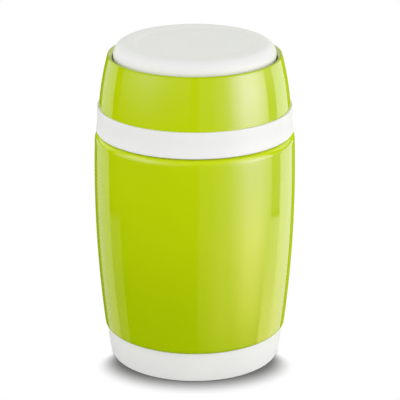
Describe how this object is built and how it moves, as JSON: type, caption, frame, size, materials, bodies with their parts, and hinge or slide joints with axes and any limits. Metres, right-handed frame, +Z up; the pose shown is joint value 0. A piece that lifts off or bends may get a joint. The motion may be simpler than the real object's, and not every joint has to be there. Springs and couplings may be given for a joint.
{
  "type": "insulated food jar",
  "caption": "Free-standing insulated food jar: bowed lacquered steel vacuum body on a base cup, screw stopper with push-button vent, and a screw-on lid that turns over as a bowl.",
  "frame": {"origin": "centre of the foot, on the surface the jar stands on", "axes": "+Z up along the jar's axis of revolution; X and Y are free, because the jar is round"},
  "size_m": [0.098, 0.098, 0.1592],
  "materials": {
    "lime_lacquer": "high-gloss lime lacquer on steel",
    "white_plastic": "satin white polypropylene",
    "brushed_steel": "satin stainless steel",
    "clear_silicone": "translucent silicone",
    "white_foam": "rigid white foam",
    "spring_steel": "bright spring wire",
    "solder_glass": "dark glass solder"
  },
  "bodies": {
    "flask": {"outer_shell": "lime_lacquer", "inner_vessel": "brushed_steel", "closing_plate": "brushed_steel", "getter": "brushed_steel", "evacuation_seal": "solder_glass", "neck_ring": "white_plastic", "base_cup": "white_plastic"},
    "seal": {"stopper_seal": "clear_silicone"},
    "stopper": {"stopper_body": "white_plastic", "stopper_cover": "white_plastic", "stopper_foam": "white_foam", "vent_spring": "spring_steel"},
    "vent": {"vent_button": "white_plastic", "vent_valve": "clear_silicone"},
    "gasket": {"lid_gasket": "clear_silicone"},
    "lid": {"lid_collar": "white_plastic", "lid_bowl": "white_plastic", "lid_foam": "white_foam", "lid_shell": "lime_lacquer", "lid_cap": "white_plastic"}
  },
  "joints": [
    {"name": "stopper_lift", "type": "slide", "parent": "flask", "child": "seal", "axis": [0, 0, 1], "range_m": [0, 0.06]},
    {"name": "stopper_turn", "type": "hinge", "parent": "seal", "child": "stopper", "pos_m": [0, 0, 0.131], "axis": [0, 0, 1], "range_deg": [0, 450]},
    {"name": "vent_press", "type": "slide", "parent": "stopper", "child": "vent", "axis": [0, 0, -1], "range_m": [0, 0.0025], "stiffness_N_per_m": 400, "springref_m": -0.002, "deforming": ["vent_spring"]},
    {"name": "lid_lift", "type": "slide", "parent": "stopper", "child": "gasket", "axis": [0, 0, 1], "range_m": [0, 0.06]},
    {"name": "lid_turn", "type": "hinge", "parent": "gasket", "child": "lid", "pos_m": [0, 0, 0.1155], "axis": [0, 0, 1], "range_deg": [0, 400]}
  ]
}
